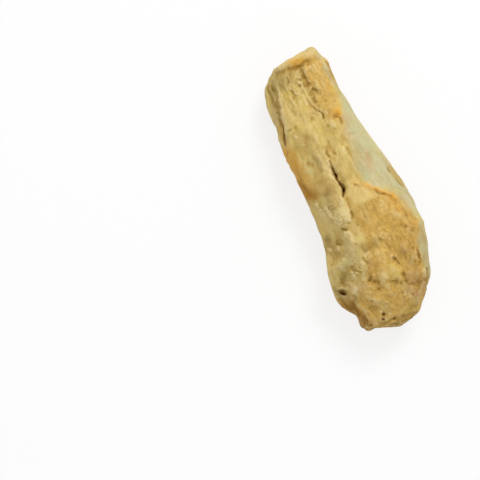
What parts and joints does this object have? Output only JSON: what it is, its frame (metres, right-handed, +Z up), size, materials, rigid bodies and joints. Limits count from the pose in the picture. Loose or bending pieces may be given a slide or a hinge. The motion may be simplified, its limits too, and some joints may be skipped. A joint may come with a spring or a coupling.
{
  "type": "orris root",
  "caption": "A dried, peeled iris rhizome: a gnarled tapering root with a blunt cut end, a broad pitted end, a long shrinkage crack on top and knife facets on its sides",
  "frame": {"origin": "under the middle of the root's bounding box, on the surface that it rests on", "axes": "+X runs along the root towards its broad end, +Y towards its long smooth peeled face, +Z up"},
  "size_m": [0.0882, 0.0342, 0.0227],
  "materials": {
    "dried_root": "matt, mealy and slightly fibrous: a pale straw-cream peeled surface with golden-tan patches of rough cortex and brown in the cracks"
  },
  "bodies": {
    "root": {"orris_root": "dried_root"}
  },
  "joints": []
}
